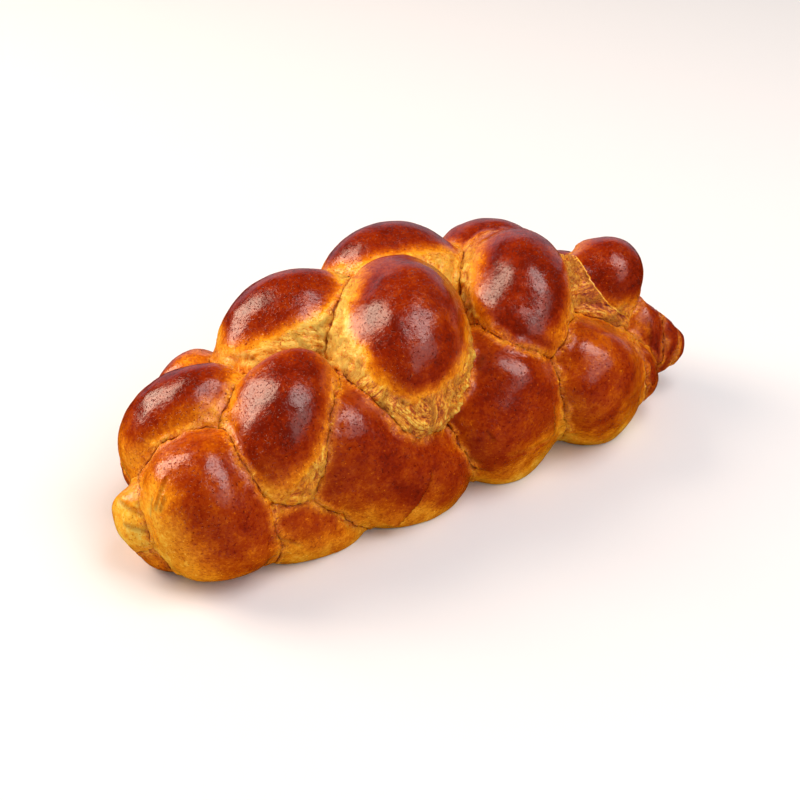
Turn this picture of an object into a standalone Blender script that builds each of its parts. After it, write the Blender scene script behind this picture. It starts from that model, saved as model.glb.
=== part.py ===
"""Braided egg loaf (challah): six dough strands plaited into one loaf and baked into one piece.

Frame: metres, +X along the loaf from the joined end to the twisted end, +Z up, origin under the middle of the
loaf on the face that it rests on. Sizes below are in millimetres and degrees.
"""

import math

import bmesh
import bpy
from mathutils import Matrix, Vector

MM = 0.001

# The imaginary egg whose surface the bulges face away from.
FACING_HALF = Vector((190, 82, 80))
FACING_MIDDLE = Vector((0, 0, 38))
# The share of a bulge's height below which its skirt starts to flare.
SKIRT_TOP = 0.6

# Each bulge starts as a ball of this many segments round and rings tall.
BALL_SEGMENTS, BALL_RINGS = 48, 32
# The fineness of the skin that joins the bulges, how its creases are softened, and the faces that it may keep.
VOXEL = 2.6
SOFTENING, SOFTENING_PASSES = 0.5, 3
MOST_TRIANGLES = 9600
# The side of the block that cuts the underside flat.
SHEET_SIZE = 600

CRUST_COLOUR = (0.35, 0.09, 0.01, 1)
CRUST_ROUGHNESS = 0.3


class Bulge:
    """One stretch of strand that shows between two crossings, as an egg-shaped swelling."""

    def __init__(self, name, middle, lean, half, square=2.0, dome=2.0, flare=0.12, taper=0.0):
        self.name = name
        self.middle = Vector(middle)
        self.half = Vector(half)
        self.square, self.dome = square, dome
        self.flare, self.taper = flare, taper
        self.axes = self.placed_axes(lean)

    def placed_axes(self, lean):
        """Along the strand, across it and out of the loaf, as columns."""
        out = self.middle - FACING_MIDDLE
        out = Vector(out[i] / FACING_HALF[i] ** 2 for i in range(3)).normalized()
        east = (Vector((1, 0, 0)) - out * out.x).normalized()
        north = out.cross(east)
        turn = math.radians(lean)
        along = east * math.cos(turn) + north * math.sin(turn)
        return Matrix((along, out.cross(along), out)).transposed()

    def point(self, unit):
        """Where a point of the unit sphere lies on the swelling."""
        around = (abs(unit.x) ** self.square + abs(unit.y) ** self.square) ** (1 / self.square)
        x, y, z = unit / (around ** self.dome + abs(unit.z) ** self.dome) ** (1 / self.dome)
        low = min(max((SKIRT_TOP - z) / SKIRT_TOP, 0), 1)
        skirt = 1 + self.flare * low * low * (3 - 2 * low)
        swell = 1 + self.taper * x
        local = Vector((self.half.x * x * skirt, self.half.y * y * swell * skirt, self.half.z * z))
        return self.middle + self.axes @ local


# lean turns a strand from +X about the outward direction: 90 points to +Y on the top of the loaf.
BULGES = [
    # near crest: strands that dive towards the near side and the joined end
    Bulge("near_crest_1", (-70, -39, 59), 237, (39, 26, 30)),
    Bulge("near_crest_2", (4, -26, 80), 242, (43, 30, 34), flare=0.18),
    Bulge("near_crest_3", (81, -11, 76), 246, (41, 26, 32), flare=0.16),
    Bulge("near_crest_4", (138, -12, 71.5), 240, (22, 20, 22)),
    Bulge("torn_gap", (121, -17, 62), 300, (30, 16, 17), flare=0),
    # far crest
    Bulge("far_crest_1", (-103, -2, 52), 172, (38, 27, 30), flare=0.04, taper=0.12),
    Bulge("far_crest_2", (-32, 20, 72), 163, (40, 29, 32)),
    Bulge("far_crest_3", (30, 32, 77), 163, (38, 29, 32)),
    Bulge("far_crest_4", (91, 32, 69), 150, (30, 25, 27)),
    Bulge("far_crest_5", (130, 13, 52), 150, (24, 20, 22)),
    # near flank
    Bulge("near_flank_1", (-108, -42, 34), 291, (36, 30, 30), square=2.6, dome=2.3, flare=0.06, taper=0.16),
    Bulge("near_flank_2", (-72, -44, 19), 325, (45, 25, 25), square=2.4, dome=2.4, flare=0.05),
    Bulge("near_flank_3", (-23, -42, 32), 322, (57, 33, 31), square=3.0, dome=2.6, flare=0.02),
    Bulge("near_flank_4", (53, -38, 33), 306, (42, 38, 33), square=3.2, dome=2.6, flare=0.02, taper=0.14),
    Bulge("near_flank_5", (107, -39, 31), 309, (46, 32, 32), square=3.0, dome=2.5, flare=0.02, taper=0.24),
    Bulge("near_flank_6", (137, -38, 24), 296, (30, 16, 20), flare=0.05),
    # joined end
    Bulge("joined_end_1", (-133, -24, 27), 200, (17, 16, 18)),
    Bulge("joined_end_2", (-126, -30, 14), 200, (19, 18, 16)),
    Bulge("joined_end_3", (-108, 14, 26), 160, (26, 24, 24)),
    # twisted end
    Bulge("twist_core", (134, -18, 30), 0, (34, 20, 22), flare=0),
    Bulge("twist_1", (143, -21, 34), 84, (28, 14, 27), dome=2.3, flare=0),
    Bulge("twist_2", (157, -25, 30), 80, (22, 11, 22), dome=2.3, flare=0),
    Bulge("twist_3", (168, -28, 27), 76, (15, 10, 15), dome=2.2, flare=0),
    # far flank
    Bulge("far_flank_1", (-80, 37, 28), 80, (32, 26, 24)),
    Bulge("far_flank_2", (-22, 50, 32), 55, (42, 31, 30), square=2.6, dome=2.4, flare=0.04),
    Bulge("far_flank_3", (40, 54, 35), 60, (42, 33, 30), square=2.6, dome=2.4, flare=0.04),
    Bulge("far_flank_4", (98, 44, 32), 65, (38, 30, 28), square=2.6, dome=2.4, flare=0.04),
    Bulge("far_flank_5", (132, 14, 30), 80, (30, 22, 28), flare=0.05),
    # inside: the body that the strands wrap round, and the broad foot that fills the underside
    Bulge("body", (0, 0, 40), 0, (118, 44, 36), flare=0),
    Bulge("foot", (4, 0, 10), 0, (126, 54, 24), square=2.6, dome=2.6, flare=0),
]


def clear_scene():
    for old in list(bpy.data.objects):
        bpy.data.objects.remove(old, do_unlink=True)


def new_collection(name, shown):
    made = bpy.data.collections.new(name)
    made.hide_render = not shown
    bpy.context.scene.collection.children.link(made)
    return made


def crust_material():
    """Egg-washed crust: a glossy reddish brown."""
    made = bpy.data.materials.new("crust")
    made.use_nodes = True
    surface = made.node_tree.nodes["Principled BSDF"]
    surface.inputs["Base Color"].default_value = CRUST_COLOUR
    surface.inputs["Roughness"].default_value = CRUST_ROUGHNESS
    surface.inputs["Metallic"].default_value = 0
    return made


def helper_object(name, mesh, collection):
    """An object that shapes the loaf and isn't part of it."""
    made = bpy.data.objects.new(name, mesh)
    made.display_type = "WIRE"
    made.hide_render = True
    collection.objects.link(made)
    return made


def bulge_object(bulge, collection):
    """The bulge as a ball with each corner moved to its place."""
    shape = bmesh.new()
    bmesh.ops.create_uvsphere(shape, u_segments=BALL_SEGMENTS, v_segments=BALL_RINGS, radius=1)
    for corner in shape.verts:
        corner.co = bulge.point(corner.co) * MM
    mesh = bpy.data.meshes.new(bulge.name)
    shape.to_mesh(mesh)
    shape.free()
    return helper_object(bulge.name, mesh, collection)


def baked_together(pieces, name, collection):
    """One closed skin round all the pieces."""
    skin = bmesh.new()
    for piece in pieces:
        skin.from_mesh(piece.data)
    mesh = bpy.data.meshes.new(name)
    skin.to_mesh(mesh)
    skin.free()
    loaf = bpy.data.objects.new(name, mesh)
    collection.objects.link(loaf)
    remesh = loaf.modifiers.new("one_skin", "REMESH")
    remesh.mode = "VOXEL"
    remesh.voxel_size = VOXEL * MM
    smooth = loaf.modifiers.new("soft_creases", "SMOOTH")
    smooth.factor = SOFTENING
    smooth.iterations = SOFTENING_PASSES
    return loaf


def flat_underside(loaf, collection):
    """Cuts the loaf off level where it lay on the baking sheet."""
    tray = bmesh.new()
    bmesh.ops.create_cube(tray, size=SHEET_SIZE * MM)
    for corner in tray.verts:
        corner.co.z -= SHEET_SIZE * MM / 2
    mesh = bpy.data.meshes.new("baking_sheet")
    tray.to_mesh(mesh)
    tray.free()
    cutter = helper_object("baking_sheet", mesh, collection)
    cut = loaf.modifiers.new("flat_underside", "BOOLEAN")
    cut.operation = "DIFFERENCE"
    cut.object = cutter


def evaluated_mesh(obj):
    """A plain mesh of the object with its modifiers applied."""
    bpy.context.view_layer.update()
    graph = bpy.context.evaluated_depsgraph_get()
    return bpy.data.meshes.new_from_object(obj.evaluated_get(graph))


def thinned(loaf):
    """Merges small faces until the loaf has few enough of them, most where it is smooth."""
    fine = evaluated_mesh(loaf)
    fine.calc_loop_triangles()
    thin = loaf.modifiers.new("fewer_faces", "DECIMATE")
    thin.ratio = MOST_TRIANGLES / len(fine.loop_triangles)
    thin.use_collapse_triangulate = True
    bpy.data.meshes.remove(fine)


def centred_on_its_foot(loaf):
    """Moves the loaf so that the origin lies under the middle of its outline."""
    loaf.data = evaluated_mesh(loaf)
    loaf.modifiers.clear()
    for axis in (0, 1):
        places = [corner.co[axis] for corner in loaf.data.vertices]
        loaf.location[axis] = -(min(places) + max(places)) / 2


def main():
    clear_scene()
    dough = new_collection("dough_bulges", shown=False)
    cutters = new_collection("cutters", shown=False)
    bread = new_collection("braided_loaf", shown=True)
    pieces = [bulge_object(bulge, dough) for bulge in BULGES]
    loaf = baked_together(pieces, "loaf", bread)
    flat_underside(loaf, cutters)
    thinned(loaf)
    centred_on_its_foot(loaf)
    loaf.data.materials.append(crust_material())
    loaf.data.shade_smooth()


main()
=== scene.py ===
# %% [markdown]
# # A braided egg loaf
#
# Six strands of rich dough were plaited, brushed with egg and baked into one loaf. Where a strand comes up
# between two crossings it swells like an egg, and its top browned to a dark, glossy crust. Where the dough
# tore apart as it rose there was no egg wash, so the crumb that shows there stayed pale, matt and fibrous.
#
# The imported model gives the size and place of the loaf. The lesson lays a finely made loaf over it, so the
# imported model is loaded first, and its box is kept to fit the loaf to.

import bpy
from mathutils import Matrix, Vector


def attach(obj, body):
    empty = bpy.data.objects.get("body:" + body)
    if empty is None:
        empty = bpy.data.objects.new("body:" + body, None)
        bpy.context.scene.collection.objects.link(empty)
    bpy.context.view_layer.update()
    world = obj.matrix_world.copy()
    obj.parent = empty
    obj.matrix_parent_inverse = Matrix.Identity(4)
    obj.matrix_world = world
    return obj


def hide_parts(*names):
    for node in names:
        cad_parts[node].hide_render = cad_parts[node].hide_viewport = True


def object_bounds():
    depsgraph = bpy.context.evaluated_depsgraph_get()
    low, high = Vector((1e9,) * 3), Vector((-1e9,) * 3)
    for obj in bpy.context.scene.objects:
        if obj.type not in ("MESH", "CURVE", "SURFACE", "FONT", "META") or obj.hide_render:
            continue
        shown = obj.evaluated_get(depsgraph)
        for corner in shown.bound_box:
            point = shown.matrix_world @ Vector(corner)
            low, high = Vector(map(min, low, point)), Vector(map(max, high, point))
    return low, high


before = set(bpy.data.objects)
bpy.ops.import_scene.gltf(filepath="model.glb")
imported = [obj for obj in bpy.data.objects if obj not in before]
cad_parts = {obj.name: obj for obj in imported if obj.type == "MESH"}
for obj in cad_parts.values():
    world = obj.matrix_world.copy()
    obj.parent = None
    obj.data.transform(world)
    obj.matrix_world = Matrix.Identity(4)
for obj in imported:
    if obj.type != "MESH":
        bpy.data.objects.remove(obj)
cad_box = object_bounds()
print("packed loaf:", [round(1000 * (cad_box[1][i] - cad_box[0][i])) for i in range(3)], "mm")

# %% Modules and units
import math

import bmesh
import bpy
import numpy as np
from mathutils import Vector, kdtree

MM = 0.001
print("Blender", bpy.app.version_string)

# %% [markdown]
# ## Uneven dough
#
# Risen dough is never a perfect egg. Smooth noise in three dimensions pushes the skin in and out: large soft
# lumps everywhere, and sharp, stringy crumb where the dough tore. A displace modifier with a texture could do
# it too, but then the crust's browning couldn't follow the same lumps. So the noise is worked out here once,
# on all points together, and shapes the mesh itself and not only its shading.

# %% Smooth noise
GRADIENTS = np.random.default_rng(11).normal(size=(4096, 3))
GRADIENTS /= np.linalg.norm(GRADIENTS, axis=1)[:, None]
STEP_PRIMES = np.array([73856093, 19349663, 83492791], np.int64)
SEED_SHIFT = 17.31        # how many cells apart the noise of one seed and the next are taken
NOISE_GAIN = 1.6          # brings the noise to about -1 to 1


def noise(points, size, seed=0):
    """Smooth noise of about -1 to 1 whose lumps are size wide."""
    place = points / size + seed * SEED_SHIFT
    cell = np.floor(place).astype(np.int64)
    part = place - cell
    ease = part ** 3 * (part * (part * 6 - 15) + 10)
    total = np.zeros(len(points))
    for corner in np.ndindex(2, 2, 2):
        corner = np.array(corner)
        slot = ((cell + corner) * STEP_PRIMES).sum(1) % len(GRADIENTS)
        weight = np.where(corner, ease, 1 - ease).prod(1)
        total += weight * (GRADIENTS[slot] * (part - corner)).sum(1)
    return total * NOISE_GAIN


def fractal(points, size, octaves, seed=0):
    """Noise with finer and finer noise on top of it."""
    return sum(noise(points, size / 2 ** i, seed + i) / 2 ** i for i in range(octaves))


def smooth_step(low, high, value):
    """0 below low, 1 above high and an easy slope between."""
    share = np.clip((value - low) / (high - low), 0, 1)
    return share * share * (3 - 2 * share)


trial = noise(np.indices((20, 20, 20)).reshape(3, -1).T * 0.37, 1)
print("noise runs from", trial.min().round(2), "to", trial.max().round(2))

# %% [markdown]
# ## Directions on a swell
#
# Each stretch of strand that shows is one swell, a rounded egg. To say where its brown cap sits or where its
# skin is folded, a baker would point at it from outside: so far from the top, towards that side. A tilt and a
# heading in degrees say the same, and need no list of points.

# %% Point at a place on a swell
def direction(tilt, heading):
    """The unit direction that leans from straight out by tilt, towards heading, in degrees."""
    tilt, heading = math.radians(tilt), math.radians(heading)
    return np.array([math.sin(tilt) * math.cos(heading), math.sin(tilt) * math.sin(heading), math.cos(tilt)])


def turned(vector, hinge, angle):
    """The vector turned about a unit hinge through it."""
    return (vector * math.cos(angle) + np.cross(hinge, vector) * math.sin(angle)
            + hinge * (hinge @ vector) * (1 - math.cos(angle)))


print("45 degrees from the top, towards the left:", direction(45, 90).round(2))

# %% [markdown]
# ## Folds in the skin
#
# Shaping the strands pulled the skin over itself here and there. Such a fold is a low step with a thin dark
# line at its foot, which is painted shade where the step's shadow falls, and the skin that it covered stayed
# paler. It could be painted on, but light would not catch on it, so it is a real step in the mesh, with marks
# for the colour.

# %% A fold
FOLD_WAVER, FOLD_WAVER_SIZE, FOLD_SEED = 0.4, 9, 61    # how far a fold strays from straight, over what length
# The fold's dark line is painted shade, where the step's shadow falls on the lower skin.
FOLD_SHADOW_LINE = 1.1           # half the width of the dark line along it
FOLD_SHADOW_LINE_OFF = 0.4       # how far the line lies to the lower side
FOLD_STEP = 0.5           # half the width of the step itself
FOLD_SHADE = 0.3          # half the width of the change to the paler skin
FOLD_ENDS = (1.15, 0.8)   # where it fades out, as shares of its half length


class Fold:
    """A line from one direction to another where the skin was pulled over itself.

    Its height is how far the skin on its left stands above the skin on its right, and its width is how soon
    that ends.
    """

    def __init__(self, start, end, height, width):
        self.start, self.end = direction(*start), direction(*end)
        self.height, self.width = height, width

    def marks(self, unit, radius):
        """The fold's lift of the skin in millimetres, its dark line of painted shade, and the paler skin under
        it.
        """
        across = np.cross(self.start, self.end)
        off = radius * np.arcsin(np.clip(unit @ (across / np.linalg.norm(across)), -1, 1))
        off = off + FOLD_WAVER * noise(unit * radius, FOLD_WAVER_SIZE, FOLD_SEED)
        middle = (self.start + self.end) / np.linalg.norm(self.start + self.end)
        beyond = np.arccos(np.clip(unit @ middle, -1, 1)) / np.arccos(middle @ self.start)
        inside = smooth_step(*FOLD_ENDS, beyond)
        fading = np.exp(-np.abs(off) / self.width)
        lip = fading * smooth_step(-FOLD_STEP, FOLD_STEP, off)
        # The dark line is painted shade, and lies just on the lower side of the step.
        line = np.exp(-((off + FOLD_SHADOW_LINE_OFF) / FOLD_SHADOW_LINE) ** 2)
        under = fading * smooth_step(FOLD_SHADE, -FOLD_SHADE, off)
        return self.height * lip * inside, line * inside, under * inside


trial = Fold((30, 0), (30, 90), 1.0, 5).marks(np.array([direction(25, 45), direction(20, 45)]), 30)
print("a fold 1 mm high lifts the skin on its two sides by", trial[0].round(2), "mm")

# %% [markdown]
# ## One swell of the plait
#
# A plait could be made from six swept tubes, but baked dough isn't a tube any more: it swells wherever it is
# free and stays thin where it is held. So each visible stretch of strand is one swell of its own, a rounded
# egg that is set into the loaf facing outwards. A swell has its middle, the way its strand runs, and its half
# length, width and height, all in millimetres, and its own crust: where the brown cap sits and how far it
# reaches ahead, left, behind and right, seen from outside and facing along the strand.

# %% A swell
FACING_HALF = np.array([190.0, 82.0, 80.0])     # the imaginary egg that all swells face out from
FACING_MIDDLE = np.array([0.0, 0.0, 38.0])
SKIRT_TOP = 0.6           # the share of a swell's height below which its skirt flares
HIDDEN = ("body", "foot", "far_flank")          # names that start so show little and need less detail


class Swell:
    """A stretch of strand between two crossings, with its shape and how it browned.

    Square makes its outline boxier and dome its section, flare widens its skirt and taper its far end. The
    cap's middle, the crown, is a tilt and a heading. Its reach, in degrees, and the rim and torn beyond it go
    ahead, left, behind, right. Fill is how round the cap is between those: 2 is an ellipse and 1 a straight
    cut. Soft is how wide its edge fades, baked and rim how brown it and the rest are, and torn how far the
    skin tore there.
    """

    def __init__(self, name, middle, lean, half, square=2.0, dome=2.0, flare=0.12, taper=0.0,
                 crown=(0, 0), reach=(60, 60, 60, 60), fill=(2, 2, 2, 2), soft=0.25,
                 rim=(0.4, 0.35, 0.4, 0.35), torn=(0, 0, 0, 0), baked=0.85, folds=()):
        self.name = name
        self.middle, self.half = np.array(middle, float), np.array(half, float)
        self.square, self.dome, self.flare, self.taper = square, dome, flare, taper
        self.crown, self.reach, self.fill, self.soft = crown, np.radians(reach), np.array(fill, float), soft
        self.rim, self.torn, self.baked, self.folds = rim, torn, baked, folds
        self.hidden = name.startswith(HIDDEN)
        out = (self.middle - FACING_MIDDLE) / FACING_HALF ** 2
        out /= np.linalg.norm(out)
        east = np.array([1.0, 0.0, 0.0]) - out * out[0]
        east /= np.linalg.norm(east)
        turn = math.radians(lean)
        along = east * math.cos(turn) + np.cross(out, east) * math.sin(turn)
        self.axes = np.stack([along, np.cross(out, along), out])

    def skin(self, unit):
        """Where the directions of a unit sphere come to lie on the swell, in millimetres."""
        around = (np.abs(unit[:, :2]) ** self.square).sum(1) ** (1 / self.square)
        rounding = (around ** self.dome + np.abs(unit[:, 2]) ** self.dome) ** (1 / self.dome)
        x, y, z = (unit / rounding[:, None]).T
        low = np.clip((SKIRT_TOP - z) / SKIRT_TOP, 0, 1)
        skirt = 1 + self.flare * low * low * (3 - 2 * low)
        local = np.stack([x * skirt, y * skirt * (1 + self.taper * x), z], 1) * self.half
        return self.middle + local @ self.axes

    def crust(self, unit):
        """How far each direction lies from the crown, as a share of the cap's reach, and its four-way mix."""
        tilt, heading = self.crown
        crown = direction(tilt, heading)
        hinge = direction(90, heading + 90)
        ahead, left = (turned(direction(90, turn), hinge, math.radians(tilt)) for turn in (0, 90))
        away = np.arccos(np.clip(unit @ crown, -1, 1))
        side = np.stack([unit @ ahead + 1e-9, unit @ left], 1)
        side /= np.linalg.norm(side, axis=1)[:, None]
        onward, leftward = side[:, 0] > 0, side[:, 1] > 0
        along = np.abs(side[:, 0]) / np.where(onward, self.reach[0], self.reach[2])
        across = np.abs(side[:, 1]) / np.where(leftward, self.reach[1], self.reach[3])
        fill = np.where(onward, np.where(leftward, self.fill[0], self.fill[3]),
                        np.where(leftward, self.fill[1], self.fill[2]))
        edge = (along ** fill + across ** fill) ** (-1 / fill)
        share = np.clip(np.concatenate([side, -side], 1), 0, 1) ** 2
        return away / edge, share


trial = Swell("trial", (0, 0, 80), 0, (40, 30, 30))
print("a trial swell's top is at", trial.skin(np.array([[0.0, 0.0, 1.0]]))[0].round(1), "mm")

# %% [markdown]
# ## The table of swells
#
# A real plait is laid out on the bench, strand by strand. Here too each group is listed as it is plaited: the
# strands that dive towards the near and the far side along the crest, those that come down both flanks, the
# joined end, the twisted end, and the body inside that they wrap round. The far side goes on with the near
# side's plait. A rule could place the swells evenly, but no baker's hand does, so each has its own row.

# %% All the swells
SWELLS = [
    # near crest: strands that dive towards the near side
    Swell("near_crest_1", (-70, -39, 59), 237, (39, 26, 30), crown=(35, -150), reach=(52, 46, 50, 46),
          soft=0.45, rim=(0.36, 0.32, 0.5, 0.26), torn=(0.3, 0.9, 0, 0), baked=0.94),
    Swell("near_crest_2", (4, -26, 80), 242, (43, 30, 34), flare=0.18, reach=(56, 62, 84, 62),
          fill=(1.6, 2, 2, 1.6), soft=0.17, rim=(0.38, 0.34, 0.6, 0.06), torn=(1, 0.9, 0, 0.9), baked=0.88),
    Swell("near_crest_3", (81, -11, 76), 246, (41, 26, 32), flare=0.16, crown=(38, -45),
          reach=(55, 54, 75, 44), soft=0.35, rim=(0.56, 0.36, 0.6, 0.22), torn=(0, 0.7, 0, 0.9), baked=0.94,
          folds=[Fold((74, -118), (40, 165), 0.9, 5)]),
    Swell("near_crest_4", (138, -12, 71.5), 240, (22, 20, 22), crown=(45, -36), reach=(55, 65, 75, 60),
          soft=0.3, rim=(0.4, 0.5, 0.6, 0.28), torn=(0.9, 0.2, 0, 0.8), baked=0.92),
    Swell("torn_gap", (121, -17, 62), 300, (30, 16, 17), flare=0, reach=(10, 10, 10, 10),
          rim=(0.6, 0.42, 0.34, 0.52), torn=(1, 1, 1, 1), baked=0.46),
    # far crest: strands that dive towards the far side
    Swell("far_crest_1", (-103, -2, 52), 172, (38, 27, 30), flare=0.04, taper=0.12, crown=(39, -167),
          reach=(57, 36, 44, 47), soft=0.4, rim=(0.34, 0.36, 0.3, 0.5), torn=(0, 0.3, 0.2, 0), baked=0.88),
    Swell("far_crest_2", (-32, 20, 72), 163, (40, 29, 32), crown=(38, 86), reach=(52, 34, 46, 70),
          soft=0.22, rim=(0.25, 0.08, 0.15, 0.5), torn=(0.3, 1, 1, 0)),
    Swell("far_crest_3", (30, 32, 77), 163, (38, 29, 32), crown=(25, 92), reach=(56, 40, 64, 70),
          soft=0.26, rim=(0.2, 0.14, 0.2, 0.5), torn=(0.2, 0.5, 0.6, 0), baked=0.9),
    Swell("far_crest_4", (91, 32, 69), 150, (30, 25, 27), crown=(30, 97), reach=(50, 50, 50, 60),
          rim=(0.3, 0.3, 0.3, 0.5), baked=0.86),
    Swell("far_crest_5", (130, 13, 52), 150, (24, 20, 22), crown=(30, 97), reach=(45, 35, 45, 60),
          rim=(0.25, 0.22, 0.25, 0.5), torn=(0.6, 0.8, 0.2, 0)),
    # near flank
    Swell("near_flank_1", (-108, -42, 34), 291, (36, 30, 30), square=2.6, dome=2.3, flare=0.06, taper=0.16,
          crown=(54, 143), reach=(64, 42, 55, 47), soft=0.6, rim=(0.5, 0.4, 0.5, 0.2), torn=(0, 0.4, 0, 0),
          baked=0.76, folds=[Fold((58, -136), (72, -164), 0.9, 2.5), Fold((54, -140), (60, -156), 0.7, 2.0),
                            Fold((66, -142), (60, -122), 0.6, 2.0)]),
    Swell("near_flank_2", (-72, -44, 19), 325, (45, 25, 25), square=2.4, dome=2.4, flare=0.05,
          crown=(60, 112), reach=(32, 26, 30, 28), soft=0.7, rim=(0.44, 0.34, 0.36, 0.45),
          torn=(0, 0.4, 0.5, 0), baked=0.68,
          folds=[Fold((62, 158), (21, 106), 0.7, 2.5), Fold((50, 168), (20, 137), 0.7, 2.5)]),
    Swell("near_flank_3", (-23, -42, 32), 322, (57, 33, 31), square=3.0, dome=2.6, flare=0.02,
          crown=(40, 122), reach=(60, 60, 60, 48), soft=0.6, rim=(0.54, 0.5, 0.48, 0.44),
          torn=(0, 0.2, 0, 0), baked=0.78,
          folds=[Fold((33, -64), (34, 74), 2.8, 7)]),
    Swell("near_flank_4", (53, -38, 33), 306, (42, 38, 33), square=3.2, dome=2.6, flare=0.02, taper=0.14,
          crown=(48, 170), reach=(50, 54, 64, 60), soft=0.6, rim=(0.35, 0.48, 0.5, 0.48), torn=(0, 0.1, 0, 0),
          baked=0.8, folds=[Fold((12, 20), (36, -125), 1.0, 5), Fold((16, 30), (27, 122), 1.0, 4),
                             Fold((55, -150), (46, -142), 0.6, 2.5), Fold((80, -128), (52, -116), 0.8, 2.5)]),
    Swell("near_flank_5", (107, -39, 31), 309, (46, 32, 32), square=3.0, dome=2.5, flare=0.02, taper=0.24,
          crown=(62, 176), reach=(58, 50, 64, 60), soft=0.6, rim=(0.36, 0.46, 0.5, 0.38),
          torn=(0, 0, 0.1, 0.2), baked=0.68),
    Swell("near_flank_6", (137, -38, 24), 296, (30, 16, 20), flare=0.05, crown=(63, -162),
          reach=(55, 45, 50, 45), soft=0.5, rim=(0.46, 0.55, 0.46, 0.46), baked=0.84),
    # joined end
    Swell("joined_end_1", (-133, -24, 27), 200, (17, 16, 18), reach=(20, 20, 20, 20), soft=0.9,
          rim=(0.2, 0.2, 0.24, 0.2), baked=0.26,
          folds=[Fold((48, -60), (42, -124), 1.0, 4), Fold((84, -50), (62, -104), 0.8, 4)]),
    Swell("joined_end_2", (-126, -30, 14), 200, (19, 18, 16), reach=(50, 50, 50, 50), soft=0.9,
          rim=(0.42, 0.42, 0.46, 0.42), baked=0.6),
    Swell("joined_end_3", (-108, 14, 26), 160, (26, 24, 24), soft=0.5, rim=(0.3, 0.35, 0.4, 0.35), baked=0.6),
    # twisted end
    Swell("twist_core", (134, -18, 30), 0, (34, 20, 22), flare=0, reach=(40, 40, 40, 40),
          rim=(0.4, 0.36, 0.4, 0.4), torn=(0.5, 0.9, 0.9, 0.5), baked=0.62),
    Swell("twist_1", (143, -21, 34), 84, (28, 14, 27), dome=2.3, flare=0, reach=(60, 60, 60, 44), soft=0.5,
          rim=(0.6, 0.6, 0.6, 0.36), baked=0.95, folds=[Fold((60, 30), (60, 120), 0.8, 3)]),
    Swell("twist_2", (157, -25, 30), 80, (22, 11, 22), dome=2.3, flare=0, reach=(60, 60, 60, 40), soft=0.5,
          rim=(0.6, 0.6, 0.6, 0.32), baked=0.88),
    Swell("twist_3", (168, -28, 27), 76, (15, 10, 15), dome=2.2, flare=0, reach=(60, 60, 60, 36), soft=0.5,
          rim=(0.6, 0.6, 0.6, 0.32), baked=0.86),
    # far flank
    Swell("far_flank_1", (-80, 37, 28), 80, (32, 26, 24), reach=(78, 78, 78, 78), soft=0.5, baked=1),
    Swell("far_flank_2", (-22, 50, 32), 55, (42, 31, 30), square=2.6, dome=2.4, flare=0.04, soft=0.5),
    Swell("far_flank_3", (40, 54, 35), 60, (42, 33, 30), square=2.6, dome=2.4, flare=0.04, soft=0.5),
    Swell("far_flank_4", (98, 44, 32), 65, (38, 30, 28), square=2.6, dome=2.4, flare=0.04, soft=0.5),
    Swell("far_flank_5", (132, 14, 30), 80, (30, 22, 28), flare=0.05, soft=0.5),
    # inside: the body that the strands wrap round, and the broad foot that fills the underside
    Swell("body", (0, 0, 40), 0, (118, 44, 36), flare=0, reach=(10, 10, 10, 10), rim=(0.4, 0.4, 0.4, 0.4),
          torn=(0.7, 0.7, 0.7, 0.7), baked=0.4),
    Swell("foot", (4, 0, 10), 0, (126, 54, 24), square=2.6, dome=2.6, flare=0, rim=(0.3, 0.3, 0.3, 0.3),
          baked=0.4),
]
print(len(SWELLS), "swells")

# %% [markdown]
# ## A ball of dough
#
# Dough is rounded before it is rolled out, and every swell here starts as a ball too. A globe with poles
# would bunch its faces up at two ends, so it is a ball of nearly equal triangles, which keeps detail even all
# over. What is measured at its corners, such as how brown the crust is there, is kept on the mesh as
# attributes, which last through every later step.

# %% A ball of even triangles
TRIANGLE_SIDE = 1.15      # millimetres, the mesh's usual edge
HIDDEN_TRIANGLE_SIDE = 1.9
BALL_EDGE = 1.107         # the edge of the first, coarse ball as a share of its radius


def ball(cuts):
    shape = bmesh.new()
    bmesh.ops.create_icosphere(shape, subdivisions=1, radius=1)
    bmesh.ops.subdivide_edges(shape, edges=shape.edges[:], cuts=cuts, use_grid_fill=True)
    for corner in shape.verts:
        corner.co.normalize()
    mesh = bpy.data.meshes.new("ball")
    shape.to_mesh(mesh)
    shape.free()
    return mesh


print("a ball with 9 cuts has", len(ball(9).polygons), "triangles")


# %% Read and keep what is known at the corners
def corners_of(mesh):
    found = np.empty(len(mesh.vertices) * 3, np.float32)
    mesh.vertices.foreach_get("co", found)
    return found.reshape(-1, 3).astype(float)


def read(mesh, name):
    found = np.empty(len(mesh.vertices), np.float32)
    mesh.attributes[name].data.foreach_get("value", found)
    return found.astype(float)


def store(mesh, name, values, kind="FLOAT", domain="POINT"):
    """Keeps values on the mesh, in place of any that it had by that name."""
    if name in mesh.attributes:
        mesh.attributes.remove(mesh.attributes[name])
    layer = mesh.attributes.new(name, kind, domain)
    field = "vector" if kind == "FLOAT_VECTOR" else "value"
    layer.data.foreach_set(field, np.asarray(values, np.int32 if kind == "INT" else np.float32).ravel())


trial = ball(1)
store(trial, "bake", np.ones(len(trial.vertices)))
print("kept on the mesh and read back:", read(trial, "bake").mean())

# %% [markdown]
# ## Shape and brown one swell
#
# In the oven the parts that stood highest browned first, so each swell has a dark cap with a soft, uneven
# edge that fades to gold at its rim. Each corner of the ball moves to its place on the egg, and takes along
# how the crust fared there: `bake`, from pale crumb at 0 to the darkest crust at 1, and `torn`, where the
# crumb shows. The caps could be painted on the finished loaf, but worked out here, with the shape, their
# edges and the lumps stay in step.

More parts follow.
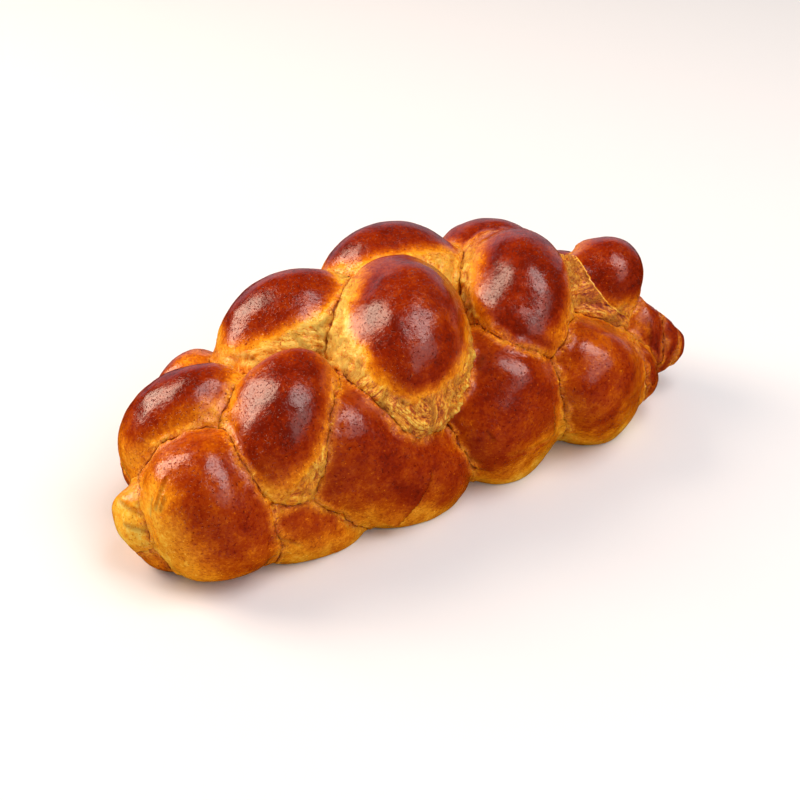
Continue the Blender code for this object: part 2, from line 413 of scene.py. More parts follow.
# %% One swell, in millimetres
BASE_PALER, BASE_TOP = 0.16, 32    # how much paler the foot of the loaf is, and how high that reaches
BAKE_PATCH, BAKE_UNEVEN = 22, 0.1
CAP_RAGGED, CAP_RAGGED_SIZE, CAP_OCTAVES = 0.08, 14, 4    # a share of the cap's reach, and over what length
TORN_SOFT, TORN_WIDTH = 0.6, 0.15  # how far beyond a cap's edge the skin tears, and how soon it is all torn
TORN_PATCH, TORN_GAPS = 9, (-0.8, 0.1)    # torn parts keep patches of whole skin, of this size
LUMP_SIZE, LUMP_HEIGHT = 32, 1.0
DENT_SIZE, DENT_HEIGHT = 11, 0.4
DIMPLE_SIZE, DIMPLE_HEIGHT = 4.2, 0.1
SKIN_THICKNESS = 0.35     # torn crumb lies this much lower than the skin
FOLD_PALER = 0.22         # how much paler the skin is that lay under a fold


def baked_swell(number, swell, shift):
    """The swell as an object, its mesh in metres."""
    side = HIDDEN_TRIANGLE_SIDE if swell.hidden else TRIANGLE_SIDE
    mesh = ball(int(swell.half.mean() * BALL_EDGE / side) - 1)
    unit = corners_of(mesh)
    skin = swell.skin(unit)
    reached, share = swell.crust(unit)
    seed = 3 * number
    reached = reached + CAP_RAGGED * fractal(skin, CAP_RAGGED_SIZE, CAP_OCTAVES, seed)
    browned = 1 - smooth_step(1 - swell.soft, 1 + swell.soft, reached)
    rim = share @ np.array(swell.rim)
    bake = rim + (swell.baked - rim) * browned + BAKE_UNEVEN * fractal(skin, BAKE_PATCH, 2, seed + 2)
    bake -= BASE_PALER * smooth_step(BASE_TOP, 0, skin[:, 2])
    edge = TORN_SOFT * swell.soft
    torn = (share @ np.array(swell.torn)) * smooth_step(1 + edge, 1 + TORN_WIDTH + edge, reached)
    torn = torn * smooth_step(*TORN_GAPS, noise(skin, TORN_PATCH, seed + 5) + torn)
    relief = LUMP_HEIGHT * noise(skin, LUMP_SIZE, seed) + DENT_HEIGHT * noise(skin, DENT_SIZE, seed + 1)
    relief += DIMPLE_HEIGHT * noise(skin, DIMPLE_SIZE, seed + 7) - SKIN_THICKNESS * torn
    # line gathers the folds' dark lines: painted shade at the foot of each step.
    line = np.zeros(len(unit))
    for fold in swell.folds:
        lift, fold_shadow_line, under = fold.marks(unit, swell.half.mean())
        relief += lift
        line = np.maximum(line, fold_shadow_line)
        bake -= FOLD_PALER * under
    outward = unit / swell.half @ swell.axes
    outward /= np.linalg.norm(outward, axis=1)[:, None]
    mesh.vertices.foreach_set("co", ((skin + outward * relief[:, None] + shift) * MM).ravel())
    mesh.update()
    store(mesh, "bake", bake)
    store(mesh, "torn", torn)
    store(mesh, "line", line)
    store(mesh, "swell", np.full(len(mesh.polygons), number), "INT", "FACE")
    return bpy.data.objects.new(swell.name, mesh)


trial = baked_swell(0, SWELLS[0], 0)
print(trial.name, "browns from", read(trial.data, "bake").min().round(2),
      "to", read(trial.data, "bake").max().round(2))
bpy.data.objects.remove(trial)

# %% [markdown]
# ## The sheet it was baked on
#
# The underside took the shape of the baking sheet. It could be cut off with a plain box, but paper wrinkles a
# little under dough. So the block that cuts it has a fine grid on top, which gives the flat crust small
# wrinkles of its own and never lets it reach below the floor.

# %% The block that cuts the underside
SHEET_HALF = (172, 88)
SHEET_STEP = 2.0
SHEET_WRINKLE, SHEET_WRINKLE_SIZE = 0.35, 14
SHEET_DEPTH = 60
UNDERSIDE_BAKE, UNDERSIDE_UNEVEN, UNDERSIDE_PATCH = 0.62, 0.12, 30
SHEET_SEED = 90


def baking_sheet(number):
    shape = bmesh.new()
    across = int(2 * SHEET_HALF[0] / SHEET_STEP)
    deep = int(2 * SHEET_HALF[1] / SHEET_STEP)
    bmesh.ops.create_grid(shape, x_segments=across, y_segments=deep, size=1)
    for corner in shape.verts:
        corner.co.x *= SHEET_HALF[0] * MM
        corner.co.y *= SHEET_HALF[1] * MM
    bmesh.ops.triangulate(shape, faces=shape.faces[:])
    walls = bmesh.ops.extrude_edge_only(shape, edges=[edge for edge in shape.edges if edge.is_boundary])
    for piece in walls["geom"]:
        if isinstance(piece, bmesh.types.BMVert):
            piece.co.z = -SHEET_DEPTH * MM
    bmesh.ops.holes_fill(shape, edges=[edge for edge in shape.edges if edge.is_boundary])
    bmesh.ops.recalc_face_normals(shape, faces=shape.faces[:])
    mesh = bpy.data.meshes.new("baking_sheet")
    shape.to_mesh(mesh)
    shape.free()
    points = corners_of(mesh) / MM
    level = points[:, 2] > -1
    wrinkle = 1 + np.clip(fractal(points, SHEET_WRINKLE_SIZE, 3, SHEET_SEED), -1, 1)
    points[:, 2] += SHEET_WRINKLE * wrinkle * level
    mesh.vertices.foreach_set("co", (points * MM).ravel())
    mesh.update()
    patches = fractal(points, UNDERSIDE_PATCH, 3, SHEET_SEED + 1)
    store(mesh, "bake", UNDERSIDE_BAKE + UNDERSIDE_UNEVEN * patches)
    store(mesh, "torn", np.zeros(len(points)))
    store(mesh, "line", np.zeros(len(points)))
    store(mesh, "swell", np.full(len(mesh.polygons), number), "INT", "FACE")
    return bpy.data.objects.new("baking_sheet", mesh)


sheet = baking_sheet(len(SWELLS))
print("the sheet's wrinkles reach", round(max(corner.co.z for corner in sheet.data.vertices) / MM, 2), "mm")

# %% [markdown]
# ## Bake the swells into one loaf
#
# The strands grew into one loaf in the oven. Here the swells are joined with a union, which keeps only the
# outer skin and puts an edge exactly where two strands meet. Remeshing would melt them together and blur that
# line, which is the very thing that makes a plait look crisp.

# %% Join the swells
# The swells are listed about the middle of the plait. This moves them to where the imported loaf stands.
TO_PACKED_LOAF = np.array([-15.4, -4.0, 0.0])


def joined(swells, cutter):
    """The mesh of all the swells in one, with the cutter taken off."""
    others = bpy.data.collections.new("other_swells")
    bpy.context.scene.collection.children.link(others)
    for swell in swells[1:]:
        others.objects.link(swell)
    bpy.context.scene.collection.objects.link(swells[0])
    bpy.context.scene.collection.objects.link(cutter)
    union = swells[0].modifiers.new("one_loaf", "BOOLEAN")
    union.operation, union.solver = "UNION", "MANIFOLD"
    union.operand_type, union.collection = "COLLECTION", others
    cut = swells[0].modifiers.new("underside", "BOOLEAN")
    cut.operation, cut.solver, cut.object = "DIFFERENCE", "MANIFOLD", cutter
    graph = bpy.context.evaluated_depsgraph_get()
    mesh = bpy.data.meshes.new_from_object(swells[0].evaluated_get(graph))
    for helper in swells + [cutter]:
        bpy.data.objects.remove(helper)
    bpy.data.collections.remove(others)
    mesh.name = "braided_loaf"
    return mesh


swells = [baked_swell(number, swell, TO_PACKED_LOAF) for number, swell in enumerate(SWELLS)]
loaf_mesh = joined(swells, sheet)
print("joined:", len(loaf_mesh.polygons), "faces")

# %% [markdown]
# ## Clean the joined skin
#
# Where two balls of triangles cut each other, the union leaves slivers, and here and there a small closed
# pocket between swells, deep inside. A real loaf's skin has neither. Corners that all but touch are merged,
# flaps that closed up are taken out, and only the largest skin is kept, so that the loaf is one clean solid.

# %% Merge slivers, and take out flaps and pockets
MERGE_WITHIN = 0.02


def skins(shape):
    """The corners of each closed skin, the largest first."""
    found = []
    for corner in shape.verts:
        corner.tag = False
    for start in shape.verts:
        if start.tag:
            continue
        start.tag = True
        skin = [start]
        for corner in skin:   # the list grows as it is walked
            for edge in corner.link_edges:
                other = edge.other_vert(corner)
                if not other.tag:
                    other.tag = True
                    skin.append(other)
        found.append(skin)
    return sorted(found, key=len, reverse=True)


def tidied(mesh):
    """Cleans the mesh, and counts the edges left open."""
    shape = bmesh.new()
    shape.from_mesh(mesh)
    bmesh.ops.remove_doubles(shape, verts=shape.verts[:], dist=MERGE_WITHIN * MM)
    bmesh.ops.triangulate(shape, faces=shape.faces[:])
    # Where a sliver closed up, two faces lie back to back on the same three corners: both go.
    alike = {}
    for face in shape.faces:
        alike.setdefault(frozenset(face.verts), []).append(face)
    flaps = [face for faces in alike.values() if len(faces) > 1 for face in faces]
    bmesh.ops.delete(shape, geom=flaps, context="FACES")
    pockets = [corner for skin in skins(shape)[1:] for corner in skin]
    bmesh.ops.delete(shape, geom=pockets, context="VERTS")
    shape.to_mesh(mesh)
    open_edges = sum(not edge.is_manifold for edge in shape.edges)
    shape.free()
    return open_edges


print("edges left open:", tidied(loaf_mesh))

# %% [markdown]
# ## Where two strands meet
#
# As the dough rose, neighbouring strands stuck together and the skin between them was pulled out and torn.
# The union put an edge exactly on that line, so it is found as the edges whose two faces came from different
# swells. Every corner learns how far it is from the nearest seam and where on the seam that is. It could be
# found from how sharply the skin bends too, but that would miss shallow seams.

# %% Find the seams
FARTHEST = 40
# Pairs of neighbours that rose into each other, so that no crease is left between them.
FUSED = [{"far_crest_1", "joined_end_1"}, {"torn_gap", "near_crest_4"}, {"torn_gap", "twist_core"},
         {"joined_end_1", "joined_end_3"}]


def seam_places(mesh):
    """Where the corners on the creased seams and on the fused seams are, in millimetres."""
    shape = bmesh.new()
    shape.from_mesh(mesh)
    owner = shape.faces.layers.int["swell"]
    creased, fused = {}, {}
    for edge in shape.edges:
        pair = {face[owner] for face in edge.link_faces}
        if len(pair) == 2 and len(SWELLS) not in pair:
            kind = fused if {SWELLS[number].name for number in pair} in FUSED else creased
            kind.update((corner, corner.co[:]) for corner in edge.verts)
    places = [np.array(list(kind.values())) / MM for kind in (creased, fused)]
    shape.free()
    return places


def nearest(points, places):
    """Each point's distance from the nearest of the places, in millimetres, and that place."""
    tree = kdtree.KDTree(len(places))
    for number, place in enumerate(places):
        tree.insert(place, number)
    tree.balance()
    found = [tree.find(point) for point in points]
    return np.array([one[2] for one in found]), np.array([one[0][:] for one in found])


points = corners_of(loaf_mesh) / MM
creased, fused = seam_places(loaf_mesh)
from_seam, seam_place = nearest(points, creased)
from_seam = np.minimum(from_seam, FARTHEST)
from_fused = nearest(points, fused)[0]
print(len(creased), "corners on creased seams,", len(fused), "on fused ones")

# %% [markdown]
# ## Soften the seams
#
# A plain union leaves a sharp valley at every seam, but dough flows together: the valley fills and only a
# thin crease stays. A bevel would cut the same width everywhere. So corners near a seam are drawn towards
# their neighbours' middle a number of times, most where the dough tore and little under a dark cap. Then the
# seam is swayed a little, as no strand lies straight.

# %% Draw the skin together along the seams
SOFT_PASSES = 100
SOFT_WIDTH, FUSED_WIDTH = 6.2, 9
SOFT_PULL, TORN_PULL, FUSED_PULL = 0.22, 0.35, 0.9
FLOOR_CLEAR = (0.5, 3)    # the skin moves fully above 3 mm and not at all below 0.5 mm
SEAM_SWAYS = [(11, 1.6), (4.5, 0.7)]    # how wide each sway of a seam is, and how far it goes, in millimetres
SWAY_SEEDS = (31, 32, 33)


def edge_ends(mesh):
    ends = np.empty(len(mesh.edges) * 2, np.int32)
    mesh.edges.foreach_get("vertices", ends)
    return ends.reshape(-1, 2)


def drawn_together(points, ends, pull, passes):
    """Moves each point towards the mean of its neighbours, by its own pull, a number of times."""
    first, second = ends.T
    count = np.bincount(ends.ravel(), minlength=len(points))[:, None]
    for _ in range(passes):
        total = np.stack([np.bincount(first, points[second, axis], len(points))
                          + np.bincount(second, points[first, axis], len(points)) for axis in range(3)], 1)
        points = points + pull[:, None] * (total / count - points)
    return points


unsoftened = points
torn = read(loaf_mesh, "torn")
above_floor = smooth_step(*FLOOR_CLEAR, points[:, 2])
near = np.exp(-(from_seam / SOFT_WIDTH) ** 2)
near_fused = np.exp(-(from_fused / FUSED_WIDTH) ** 2)
pull = np.maximum(near * (SOFT_PULL + TORN_PULL * torn), FUSED_PULL * near_fused)
points = drawn_together(points, edge_ends(loaf_mesh), pull * above_floor, SOFT_PASSES)
for size, sway in SEAM_SWAYS:
    drift = np.stack([noise(points, size, seed) for seed in SWAY_SEEDS], 1)
    points = points + sway * drift * (near * above_floor)[:, None]
loaf_mesh.vertices.foreach_set("co", (points * MM).ravel())
loaf_mesh.update()
print("the skin moved up to", np.linalg.norm(points - unsoftened, axis=1).max().round(1), "mm")

# %% [markdown]
# ## Wrinkles, crumb and creases
#
# Torn dough is wrinkled: in some places the wrinkles run from one strand across to the other, in others along
# the seam, and a rounded lip stands where the skin let go. Even noise would look like gravel. Squeezing space
# along one direction before asking for noise stretches the noise that way. The squeezed place is kept for the
# material too, which adds threads that are too fine for the mesh.

# %% Space that is squeezed along or across the seams
SQUEEZE = 0.2
WAVER, WAVER_SIZE = 0.6, 12
WRINKLE_TURN, TURN_SOFT = 13, 0.15        # how far apart wrinkles that run one way and the other lie


def ridges(points, size, seed):
    """Noise with sharp crests at 1 and broad valleys down to about -1."""
    return 1 - 2 * np.abs(noise(points, size, seed))


waver = WAVER * noise(points, WAVER_SIZE, 41)[:, None]
off_seam = points - seam_place
across_space = seam_place + SQUEEZE * off_seam + waver
along_space = SQUEEZE * seam_place + off_seam + waver
turn = smooth_step(-TURN_SOFT, TURN_SOFT, noise(points, WRINKLE_TURN, 50))[:, None]
thread_space = along_space + turn * (across_space - along_space)
print("wrinkles run across the seam on", round(100 * turn.mean()), "% of the skin")

# %% How rough the skin is, and the relief of torn crumb
WRINKLE_SIZE, WRINKLE_HEIGHT, WRINKLE_LEVEL = 2.8, 1.5, 0.4
CRUMB_SIZE, CRUMB_HEIGHT, CRUMB_LEVEL = 6.5, 0.6, 0.5
BAND_WIDTH, BAND_INNER, BAND_TORN = 5.6, 1.0, 0.45      # a band along every seam is a little torn too
BAND_STRAY, BAND_STRAY_SIZE = 2.2, 10
LIP_PLACE, LIP_WIDTH, LIP_HEIGHT = 3.8, 2.0, 1.6        # the rounded lip beside a seam
LIP_STRAY, LIP_STRAY_SIZE = 1.8, 14
LIP_GAP_SIZE, LIP_GAPS, LIP_MORE = 20, (-0.5, 0.4), 0.3 # it is missing in places

wrinkles = ridges(thread_space, WRINKLE_SIZE, 42)
crumb = ridges(points, CRUMB_SIZE, 44) + 0.5 * ridges(points, CRUMB_SIZE / 2, 45)
band = smooth_step(BAND_WIDTH, BAND_INNER, from_seam + BAND_STRAY * noise(points, BAND_STRAY_SIZE, 46))
rough = np.maximum(torn, BAND_TORN * band)
lip_at = LIP_PLACE + LIP_STRAY * noise(points, LIP_STRAY_SIZE, 47)
lip = np.exp(-((from_seam - lip_at) / LIP_WIDTH) ** 2)
lip *= smooth_step(*LIP_GAPS, noise(points, LIP_GAP_SIZE, 48) + LIP_MORE)
relief = rough * (WRINKLE_HEIGHT * (wrinkles - WRINKLE_LEVEL) + CRUMB_HEIGHT * (crumb - CRUMB_LEVEL)
                  + LIP_HEIGHT * lip)
print("relief of the crumb, mm:", relief.min().round(2), "to", relief.max().round(2))

# %% Press in the crease
CREASE_DEPTH, CREASE_WIDTH = 0.28, 0.7
CREASE_LEAST, CREASE_MORE = 0.3, 1.2      # its depth varies from 0.3 to 1.5 times
CREASE_STRETCH, CREASE_RANGE = 14, (-0.4, 0.6)

normals = np.empty(len(points) * 3, np.float32)
loaf_mesh.vertex_normals.foreach_get("vector", normals)
depth_here = CREASE_LEAST + CREASE_MORE * smooth_step(*CREASE_RANGE, noise(points, CREASE_STRETCH, 49))
crease = CREASE_DEPTH * depth_here * np.exp(-(from_seam / CREASE_WIDTH) ** 2)
points = points + normals.reshape(-1, 3) * ((relief - crease) * above_floor)[:, None]
print("the crease is up to", crease.max().round(2), "mm deep")

# %% [markdown]
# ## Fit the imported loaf
#
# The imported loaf's box is the real size. The swells were laid out for it, but the relief moved the skin by up
# to a millimetre. Each swell could be shifted back, but stretching the whole loaf by that little is simpler
# and doesn't show.

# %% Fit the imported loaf's box
box_low, box_high = (np.array(corner) / MM for corner in cad_box)
low, high = points.min(0), points.max(0)
points = box_low + (points - low) * (box_high - box_low) / (high - low)
loaf_mesh.vertices.foreach_set("co", (points * MM).ravel())
print("stretched by, %:", (100 * ((box_high - box_low) / (high - low) - 1)).round(2))

# %% Keep the measures that lead the material
# Painted shade: crust is browner this close to a seam, standing in for the warm shade in the crevice.
CREVICE_SHADE_WIDTH = 2.4          # crust is a little darker this close to a seam
# How dark the folds' lines of painted shade are.
FOLD_SHADOW_DARKNESS = 0.6
# Painted light and shade on torn crumb: its tone is paler on the crests of the wrinkles, crumb and lip, and
# browner in the hollows.
CRUMB_SHADE_MIX = (0.7, 0.3, 0.4)               # how far its tone follows the wrinkles, the crumb and the lip

store(loaf_mesh, "torn", rough)
store(loaf_mesh, "band", band)
# deep: the painted shade in the crevice beside each seam.
store(loaf_mesh, "deep", smooth_step(CREVICE_SHADE_WIDTH, 0, from_seam))
# crumb: where the torn crumb's crests are painted lighter and its hollows shaded.
store(loaf_mesh, "crumb", sum(share * part for share, part in zip(CRUMB_SHADE_MIX, (wrinkles, crumb, lip))))
store(loaf_mesh, "fold", FOLD_SHADOW_DARKNESS * read(loaf_mesh, "line"))
store(loaf_mesh, "seam_mm", from_seam)
store(loaf_mesh, "thread_space", thread_space, "FLOAT_VECTOR")
loaf_mesh.shade_smooth()
loaf_mesh.update()
loaf_mesh.calc_loop_triangles()
print(len(loaf_mesh.loop_triangles), "triangles")

# %% The loaf as a piece
loaf = bpy.data.objects.new("braided_loaf", loaf_mesh)
bpy.context.scene.collection.objects.link(loaf)
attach(loaf, "root")
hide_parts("loaf")
print(loaf.name, "measures", [round(1000 * side, 1) for side in loaf.dimensions], "mm")

# %% [markdown]
# ## Egg-washed baked crust
#
# The finish is a crust of baked wheat dough under a film of beaten egg. It browns from cream through gold and
# orange to a deep red brown, and the egg dries to a thin, slightly wrinkled varnish, so the eye gets sharp
# highlights on dark caps. Torn crumb has no egg on it: it is matt and scatters the light. Two materials with
# a border between them would show a hard edge that bread doesn't have, so one material does both, led by the
# measures on the mesh.

# %% Helpers for materials
def hex_colour(code):
    """An sRGB hex code as the linear colour that Blender wants."""
    parts = [int(code[i:i + 2], 16) / 255 for i in (1, 3, 5)]
    return tuple(c / 12.92 if c <= 0.04045 else ((c + 0.055) / 1.055) ** 2.4 for c in parts) + (1.0,)


def add(kind, inputs=(), out=0, **settings):
    """Adds a node to the tree with its settings, fills or links its inputs, and returns one output."""
    node = tree.nodes.new("ShaderNode" + kind)
    for name, value in settings.items():
        setattr(node, name, value)
    for slot, value in (inputs if isinstance(inputs, dict) else dict(enumerate(inputs))).items():
        if isinstance(value, bpy.types.NodeSocket):
            tree.links.new(value, node.inputs[slot])
        else:
            node.inputs[slot].default_value = value
    return node.outputs[out] if node.outputs else None


print("cream is", [round(part, 3) for part in hex_colour("#ffd75c")])

# %% What the mesh tells the crust
crust = bpy.data.materials.new("egg_washed_baked_crust")
crust.use_nodes = True
tree = crust.node_tree
tree.nodes.clear()
place = add("TexCoord", out="Object")
told = {name: add("Attribute", out="Fac", attribute_name=name)
        for name in ("bake", "torn", "crumb", "band", "deep", "fold", "seam_mm")}
threads_run = add("Attribute", out="Vector", attribute_name="thread_space")
print("the mesh tells the crust:", ", ".join(told))

# %% [markdown]
# ## The crust's patterns
#
# Close up, a crust isn't even: it has blotches as wide as a fingertip, flecks of a millimetre or two, dark
# pits where gas burst through the egg, pale specks, and fine wrinkles where the varnish shrank. They could be
# modelled one by one, but there are thousands. So each is a noise whose size comes from the real one in
# millimetres. Threads of torn dough are some 0.3 mm thick, which is too fine to show, so they are drawn about
# three times as coarse.

# %% Grains of noise
# For each: its size in millimetres, how many times finer noise is laid on it, and how strong that is.
GRAINS = {"blotch": (9, 4, 0.62), "fleck": (1.6, 3, 0.65), "pit": (1.0, 1.5, 0.5), "speck": (1.17, 1.5, 0.5),
          "wrinkle": (3.4, 3, 0.6), "crumb_crack": (3.0, 4, 0.65), "stray": (3.0, 3, 0.6), "gap": (9, 2, 0.5),
          "skin": (2.0, 3, 0.6), "film": (0.7, 2, 0.5), "crumb": (1.6, 2, 0.5), "sheen": (6, 2, 0.5)}
THREADS = {"thread": (1.0, 3, 0.6), "thread_crack": (1.6, 3, 0.6)}      # these run along the torn dough

grain = {}
for patterns, where, unit in ((GRAINS, place, MM), (THREADS, threads_run, 1)):
    for name, (size, detail, roughness) in patterns.items():
        grain[name] = add("TexNoise", {"Vector": where, "Scale": 1 / (size * unit), "Detail": detail,
                                       "Roughness": roughness}, out="Fac")
print(len(grain), "grains")

# %% Spots and cracks
# A spot shows where its grain rises above a level, and the second number is how sharply it sets in.
SPOTS = {"pit": (0.63, 9.0), "speck": (0.67, 9.0), "gap": (0.36, 8.0)}
# A crack shows where its grain passes the middle: the higher the number, the thinner it is.
CRACKS = {"wrinkle": 26.0, "crumb_crack": 30.0, "thread_crack": 16.0}
GRAIN_MIDDLE = 0.5

spot = {name: add("Math", (grain[name], sharp, -sharp * level), operation="MULTIPLY_ADD", use_clamp=True)
        for name, (level, sharp) in SPOTS.items()}
crack = {}
for name, thin in CRACKS.items():
    off = add("Math", (grain[name], GRAIN_MIDDLE), operation="SUBTRACT")
    off = add("Math", (off,), operation="ABSOLUTE")
    crack[name] = add("Math", (off, -thin, 1.0), operation="MULTIPLY_ADD", use_clamp=True)
fissure = add("Math", (crack["thread_crack"], crack["crumb_crack"]), operation="MAXIMUM")
fissure = add("Math", (told["torn"], fissure), operation="MULTIPLY")
print(len(spot), "kinds of spots,", len(crack), "kinds of cracks")

# %% [markdown]
# ## How brown each spot is
#
# Browning is one chemical change that runs through the same colours everywhere, only faster on high ground.
# So one number, the tone, gathers everything that made a place browner or paler, with the painted shade in
# cracks, crevices and crumb hollows, and one row of colours turns it into crust. Mixing several colours by
# hand would soon give browns that bread never has.

# %% The tone
BLOTCH_DEPTH, BLOTCH_LEVEL, BLOTCH_LESS = 0.7, -0.36, -0.6      # torn crumb shows fewer blotches
FLECK_DEPTH = 0.5
BAND_LESS, BAND_LEVEL = -0.7, 0.21        # beside a seam, dark crust is paler and pale crust is browner
# Painted light and shade on torn crumb: its crests and threads are paler and its hollows browner, as lit and
# shaded crumb looks.
CREST_PAINTED_LIGHT, THREAD_PAINTED_LIGHT, CRUMB_SHADE_LEVEL = -0.28, -1.5, 0.77       # crumb: its crests and threads are paler
# The browner fissures and the browner crust beside the seams are painted shade in cracks and crevices.
PIT_TONE, SPECK_TONE, FISSURE_SHADE_TONE, CREVICE_SHADE_TONE = 0.22, -0.3, 0.28, 0.1     # browner above 0, paler below

blotch = add("Math", (grain["blotch"], BLOTCH_DEPTH, BLOTCH_LEVEL), operation="MULTIPLY_ADD")
whole = add("Math", (told["torn"], BLOTCH_LESS, 1.0), operation="MULTIPLY_ADD")
fleck = add("Math", (grain["fleck"], FLECK_DEPTH, -FLECK_DEPTH / 2), operation="MULTIPLY_ADD")
beside = add("Math", (told["bake"], BAND_LESS, BAND_LEVEL), operation="MULTIPLY_ADD")
crumb_light_and_shade = add("Math", (told["crumb"], CREST_PAINTED_LIGHT, CRUMB_SHADE_LEVEL), operation="MULTIPLY_ADD")
crumb_light_and_shade = add("Math", (grain["thread"], THREAD_PAINTED_LIGHT, crumb_light_and_shade), operation="MULTIPLY_ADD")
tone = add("Math", (told["bake"], fleck), operation="ADD")
for part, share in ((blotch, whole), (beside, told["band"]), (crumb_light_and_shade, told["torn"]),
                    (spot["pit"], PIT_TONE), (spot["speck"], SPECK_TONE),
                    (fissure, FISSURE_SHADE_TONE), (told["deep"], CREVICE_SHADE_TONE)):
    tone = add("Math", (part, share, tone), operation="MULTIPLY_ADD")
print("the tone takes", len(tree.nodes), "nodes so far")

# %% The colours of baking
CRUST_TONES = [
    (0.00, "#ffd75c"), (0.12, "#ffbc34"), (0.25, "#f49c18"), (0.40, "#da7408"),
    (0.55, "#ba5004"), (0.70, "#a13604"), (0.85, "#892203"), (1.00, "#6e1603"),
]

browned = add("ValToRGB", {"Fac": tone})
ramp = browned.node.color_ramp
ramp.interpolation = "EASE"
while len(ramp.elements) < len(CRUST_TONES):
    ramp.elements.new(0.5)
for stop, (position, code) in zip(ramp.elements, CRUST_TONES):
    stop.position, stop.color = position, hex_colour(code)
print(len(ramp.elements), "tones from cream to dark crust")

# %% [markdown]
# ## Dark lines
#
# The thin brown lines in the seams and at the foot of the folds are painted shade, where the crease and the
# fold's step lie in shadow. They stray a little and break off. Lines drawn from the distance to the seam alone
# would look ruled, so noise moves them and leaves gaps.

# %% Lines of painted shade in the seams and folds
LINE_STRAY = 0.9
LINE_HALF, LINE_FADE = 0.35, 1.4          # millimetres of full line each side, and how fast it fades beyond
SHADE_LINE_COLOUR = "#a05828"

off_line = add("Math", (grain["stray"], LINE_STRAY, told["seam_mm"]), operation="MULTIPLY_ADD")
line = add("Math", (off_line, -LINE_FADE, 1 + LINE_FADE * LINE_HALF), operation="MULTIPLY_ADD",
           use_clamp=True)
line = add("Math", (line, spot["gap"]), operation="MULTIPLY")
line = add("Math", (line, told["fold"]), operation="MAXIMUM")
colour = add("Mix", {0: line, 6: browned, 7: hex_colour(SHADE_LINE_COLOUR)}, out=2, data_type="RGBA",
             blend_type="MULTIPLY")
print("lines are darkened by", SHADE_LINE_COLOUR)

# %% [markdown]
# ## Fine relief and gloss
#
# The large shapes are in the mesh. What is finer than its triangles is bump: the pits and wrinkles that break
# up the highlights on the varnish, and the crumb's fine grain. Bump that is too steep darkens the crumb,
# where light should scatter, so it stays shallow there. The varnish is smooth where the crust is dark, and
# duller where it stayed pale.

# %% Fine relief
# Millimetres that each pattern stands up, or lies down below 0.
SKIN_RISE, FILM_RISE = 0.14, 0.03
CRUMB_RELIEF = {"crumb": 0.15, "thread": 0.2}
PIT_DEPTH, WRINKLE_DEPTH, FISSURE_DEPTH, LINE_DEPTH = -0.4, -0.03, -0.14, -0.6

crumb_height = 0.0
for name, rise in CRUMB_RELIEF.items():
    crumb_height = add("Math", (grain[name], rise, crumb_height), operation="MULTIPLY_ADD")
height = add("Math", (told["torn"], crumb_height), operation="MULTIPLY")
for part, rise in ((grain["skin"], SKIN_RISE), (grain["film"], FILM_RISE), (spot["pit"], PIT_DEPTH),
                   (crack["wrinkle"], WRINKLE_DEPTH), (fissure, FISSURE_DEPTH), (line, LINE_DEPTH)):
    height = add("Math", (part, rise, height), operation="MULTIPLY_ADD")
facing = add("Bump", {"Distance": MM, "Strength": 1.0, "Height": height})
print("the deepest pit is", -PIT_DEPTH, "mm")

# %% Gloss, and the finished material
BASE_IOR = 1.54           # dried egg and starch
SKIN_ROUGHNESS, CRUMB_ROUGHNESS = 0.14, 0.42
DULL_BELOW, DULL_RATE = 0.6, 0.35         # crust paler than this is duller, and by how much
SHEEN_UNEVEN = 0.16

dull = add("Math", (told["bake"], -DULL_RATE, DULL_RATE * DULL_BELOW), operation="MULTIPLY_ADD",
           use_clamp=True)
dull = add("Math", (told["torn"], dull), operation="MAXIMUM")
gloss = add("Math", (grain["sheen"], SHEEN_UNEVEN, SKIN_ROUGHNESS - SHEEN_UNEVEN / 2),
            operation="MULTIPLY_ADD")
gloss = add("Math", (dull, CRUMB_ROUGHNESS - SKIN_ROUGHNESS, gloss), operation="MULTIPLY_ADD")
shader = add("BsdfPrincipled", {"Metallic": 0.0, "IOR": BASE_IOR, "Base Color": colour, "Roughness": gloss,
                                "Normal": facing})
add("OutputMaterial", {"Surface": shader})
loaf_mesh.materials.clear()
loaf_mesh.materials.append(crust)
print(crust.name, "has", len(tree.nodes), "nodes")

# %% [markdown]
# ## The floor
#
# The loaf lies on pale, matt paper, which throws light back up under it. A curved backdrop would do as well,
# but a plain sheet is enough for a low object. It is left out of reflections, so that the varnish mirrors
# the lamps alone and its highlights keep their shape.

# %% Pale paper
FLOOR_HALF = 3.0
FLOOR_DROP = 0.0003       # just under the loaf, so that the two never share a plane
PAPER, PAPER_ROUGHNESS = "#eef2f8", 0.9

paper = bpy.data.materials.new("pale_paper")
paper.use_nodes = True
paper.node_tree.nodes["Principled BSDF"].inputs["Base Color"].default_value = hex_colour(PAPER)
paper.node_tree.nodes["Principled BSDF"].inputs["Roughness"].default_value = PAPER_ROUGHNESS
floor_shape = bmesh.new()
bmesh.ops.create_grid(floor_shape, x_segments=1, y_segments=1, size=FLOOR_HALF)
floor_mesh = bpy.data.meshes.new("floor")
floor_shape.to_mesh(floor_mesh)
floor_shape.free()
floor_mesh.materials.append(paper)
floor = bpy.data.objects.new("floor", floor_mesh)
floor.location.z = -FLOOR_DROP
bpy.context.scene.collection.objects.link(floor)
floor.visible_glossy = False
print("floor of", 2 * FLOOR_HALF, "m in", paper.name)

# %% [markdown]
# ## The light
#
# A glossy crust is seen by what it mirrors. A small warm softbox behind on the left puts a crisp highlight on
# each cap, one overhead puts a second beside it, a wide cool wall behind gives the rims a faint edge, and a
# weak one in front lifts the near flank. The pale room fills in the rest. A single large lamp would be
# simpler, but its one broad reflection makes bread look like plastic.

# %% Softboxes and the pale room
AIM_FROM_MIDDLE = (0, -30, 50)            # lamps and camera aim at the loaf's near side, 50 mm up
AIM = Vector(TO_PACKED_LOAF + AIM_FROM_MIDDLE) * MM
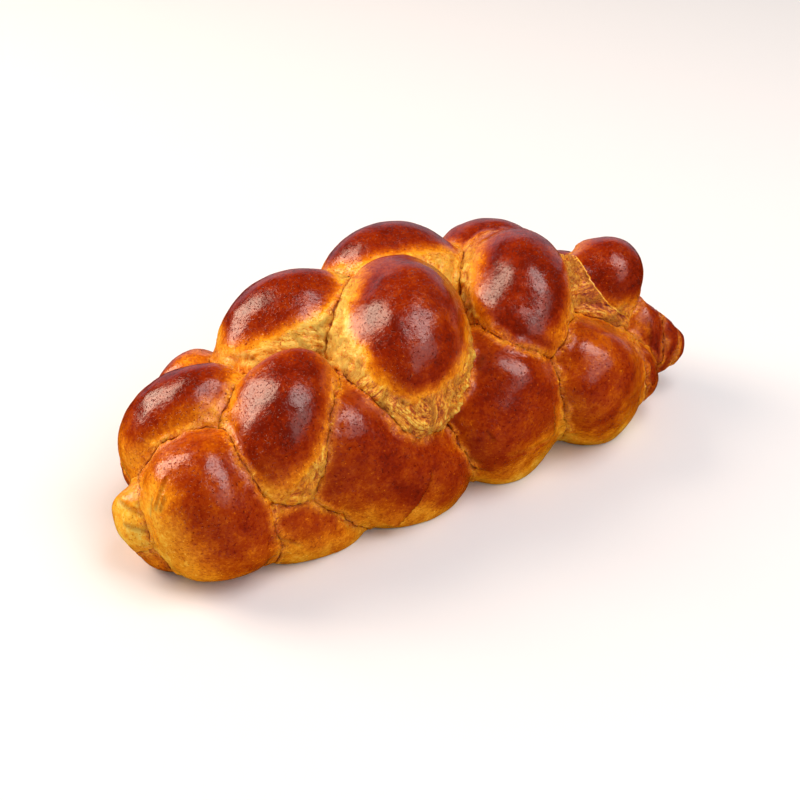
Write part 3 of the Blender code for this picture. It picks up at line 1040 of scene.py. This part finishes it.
# name, the way from the loaf, metres away, width and height in metres, watts, colour
SOFTBOXES = [
    ("softbox_left", (-0.55, 0.62, 0.56), 1.4, 0.65, 1.15, 20, "#ffe3c8"),
    ("softbox_top", (0.27, -0.32, 0.9), 1.5, 0.85, 1.1, 15, "#fff4ee"),
    ("back_wall", (0.5, 0.85, 0.06), 2.5, 4.5, 1.5, 10, "#e6ecff"),
    ("softbox_front", (0.25, -0.72, 0.5), 1.6, 1.2, 0.8, 4, "#fff6f0"),
]
ROOM, ROOM_STRENGTH = "#fffaf4", 0.33

for name, toward, distance, width, height, watts, code in SOFTBOXES:
    lamp = bpy.data.lights.new(name, "AREA")
    lamp.shape, lamp.size, lamp.size_y, lamp.energy = "RECTANGLE", width, height, watts
    lamp.color = hex_colour(code)[:3]
    softbox = bpy.data.objects.new(name, lamp)
    softbox.location = AIM + Vector(toward).normalized() * distance
    softbox.rotation_euler = Vector(toward).to_track_quat("Z", "Y").to_euler()
    bpy.context.scene.collection.objects.link(softbox)
room = bpy.data.worlds.new("pale_room")
room.use_nodes = True
room.node_tree.nodes["Background"].inputs["Color"].default_value = hex_colour(ROOM)
room.node_tree.nodes["Background"].inputs["Strength"].default_value = ROOM_STRENGTH
room.cycles_visibility.glossy = False
bpy.context.scene.world = room
bpy.context.scene.view_settings.view_transform = "Standard"
print(len(SOFTBOXES), "softboxes in a pale room")

# %% [markdown]
# ## The camera
#
# The loaf is looked at from its front left, a third of the way up, as it lies on a table before someone who
# stands. It could be placed by hand, but an azimuth, an elevation and a distance say plainly where it is.

# %% Camera
LENS, SENSOR, DISTANCE = 63, 36, 0.7
AZIMUTH, ELEVATION = math.radians(-30), math.radians(36)

lens = bpy.data.cameras.new("camera")
lens.lens, lens.sensor_width = LENS, SENSOR
camera = bpy.data.objects.new("camera", lens)
back = Vector((math.sin(AZIMUTH) * math.cos(ELEVATION), -math.cos(AZIMUTH) * math.cos(ELEVATION),
               math.sin(ELEVATION)))
camera.location = AIM + back * DISTANCE
camera.rotation_euler = back.to_track_quat("Z", "Y").to_euler()
bpy.context.scene.collection.objects.link(camera)
bpy.context.scene.camera = camera
print("camera at", [round(part, 3) for part in camera.location], "m")
